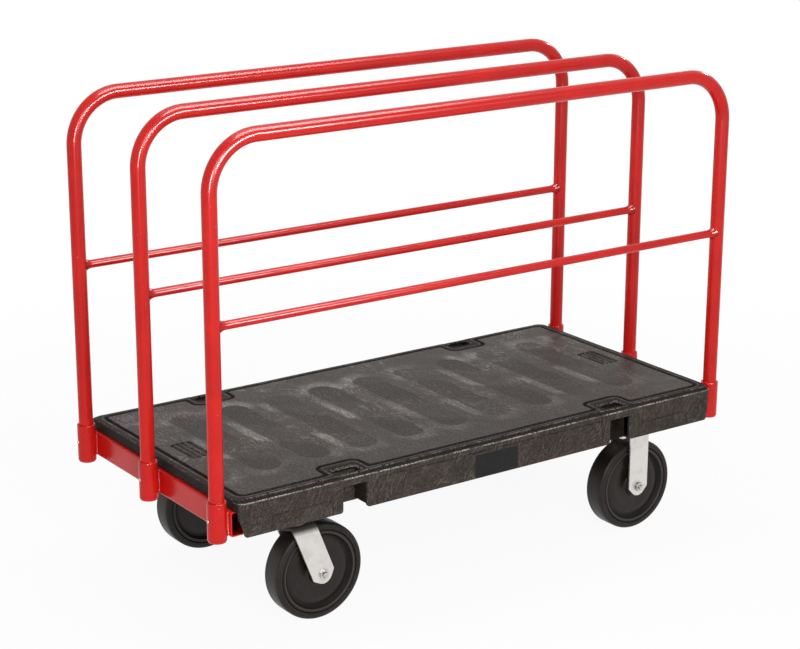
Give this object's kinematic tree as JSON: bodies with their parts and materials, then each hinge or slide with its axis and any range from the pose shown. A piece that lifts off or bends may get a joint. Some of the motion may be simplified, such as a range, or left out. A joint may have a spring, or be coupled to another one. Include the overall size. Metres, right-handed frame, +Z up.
{
  "type": "sheet panel cart",
  "caption": "Flat platform cart on swivel and rigid wheels, with upright tube hoops and guard rails that hold sheets and panels on edge.",
  "frame": {"origin": "on the floor, under the middle of the platform", "axes": "+X along the platform towards the rigid casters, +Y across it away from the labelled side, +Z up"},
  "size_m": [1.315, 0.6096, 1.022],
  "materials": {
    "red_paint": "glossy red powder coat",
    "deck_plastic": "satin moulded structural foam with flow marks",
    "label_face": "printed plate, plain band",
    "bright_zinc": "bright zinc plate",
    "bolt_steel": "zinc plated hardware",
    "tyre_rubber": "black moulded tread",
    "wheel_plastic": "black moulded wheel centre"
  },
  "bodies": {
    "platform": {"deck": "deck_plastic", "label_plate": "label_face", "end_beam_left": "red_paint", "end_beam_right": "red_paint", "frame_arm_front_left": "red_paint", "frame_arm_rear_left": "red_paint", "frame_arm_front_right": "red_paint", "frame_arm_rear_right": "red_paint", "post_socket_front_left": "red_paint", "set_screw_front_left": "bolt_steel", "post_socket_front_right": "red_paint", "set_screw_front_right": "bolt_steel", "post_socket_middle_left": "red_paint", "set_screw_middle_left": "bolt_steel", "post_socket_middle_right": "red_paint", "set_screw_middle_right": "bolt_steel", "post_socket_rear_left": "red_paint", "set_screw_rear_left": "bolt_steel", "post_socket_rear_right": "red_paint", "set_screw_rear_right": "bolt_steel", "caster_plate_front_left": "bright_zinc", "ball_race_front_left": "bright_zinc", "kingpin_front_left": "bolt_steel", "caster_plate_front_right": "bright_zinc", "fork_front_right": "bright_zinc", "hub_bush_front_right": "bolt_steel", "axle_bolt_front_right": "bolt_steel", "axle_nut_front_right": "bolt_steel", "caster_plate_rear_left": "bright_zinc", "ball_race_rear_left": "bright_zinc", "kingpin_rear_left": "bolt_steel", "caster_plate_rear_right": "bright_zinc", "fork_rear_right": "bright_zinc", "hub_bush_rear_right": "bolt_steel", "axle_bolt_rear_right": "bolt_steel", "axle_nut_rear_right": "bolt_steel"},
    "front_hoop": {"hoop_front": "red_paint", "guard_rail_front": "red_paint"},
    "middle_hoop": {"hoop_middle": "red_paint", "guard_rail_middle": "red_paint"},
    "rear_hoop": {"hoop_rear": "red_paint", "guard_rail_rear": "red_paint"},
    "front_left_swivel": {"fork_front_left": "bright_zinc", "hub_bush_front_left": "bolt_steel", "axle_bolt_front_left": "bolt_steel", "axle_nut_front_left": "bolt_steel"},
    "rear_left_swivel": {"fork_rear_left": "bright_zinc", "hub_bush_rear_left": "bolt_steel", "axle_bolt_rear_left": "bolt_steel", "axle_nut_rear_left": "bolt_steel"},
    "front_left_wheel": {"tyre_front_left": "tyre_rubber", "wheel_core_front_left": "wheel_plastic"},
    "front_right_wheel": {"tyre_front_right": "tyre_rubber", "wheel_core_front_right": "wheel_plastic"},
    "rear_left_wheel": {"tyre_rear_left": "tyre_rubber", "wheel_core_rear_left": "wheel_plastic"},
    "rear_right_wheel": {"tyre_rear_right": "tyre_rubber", "wheel_core_rear_right": "wheel_plastic"}
  },
  "joints": [
    {"name": "front_hoop_lift", "type": "slide", "parent": "platform", "child": "front_hoop", "axis": [0, 0, 1], "range_m": [0, 0.08]},
    {"name": "middle_hoop_lift", "type": "slide", "parent": "platform", "child": "middle_hoop", "axis": [0, 0, 1], "range_m": [0, 0.08]},
    {"name": "rear_hoop_lift", "type": "slide", "parent": "platform", "child": "rear_hoop", "axis": [0, 0, 1], "range_m": [0, 0.08]},
    {"name": "front_left_swivel_turn", "type": "hinge", "parent": "platform", "child": "front_left_swivel", "pos_m": [-0.445, -0.221, 0.2142], "axis": [0, 0, 1], "continuous": true},
    {"name": "rear_left_swivel_turn", "type": "hinge", "parent": "platform", "child": "rear_left_swivel", "pos_m": [-0.445, 0.221, 0.2142], "axis": [0, 0, 1], "continuous": true},
    {"name": "front_left_wheel_roll", "type": "hinge", "parent": "front_left_swivel", "child": "front_left_wheel", "pos_m": [-0.39, -0.221, 0.1016], "axis": [0, 1, 0], "continuous": true},
    {"name": "front_right_wheel_roll", "type": "hinge", "parent": "platform", "child": "front_right_wheel", "pos_m": [0.445, -0.221, 0.1016], "axis": [0, 1, 0], "continuous": true},
    {"name": "rear_left_wheel_roll", "type": "hinge", "parent": "rear_left_swivel", "child": "rear_left_wheel", "pos_m": [-0.39, 0.221, 0.1016], "axis": [0, 1, 0], "continuous": true},
    {"name": "rear_right_wheel_roll", "type": "hinge", "parent": "platform", "child": "rear_right_wheel", "pos_m": [0.445, 0.221, 0.1016], "axis": [0, 1, 0], "continuous": true}
  ]
}
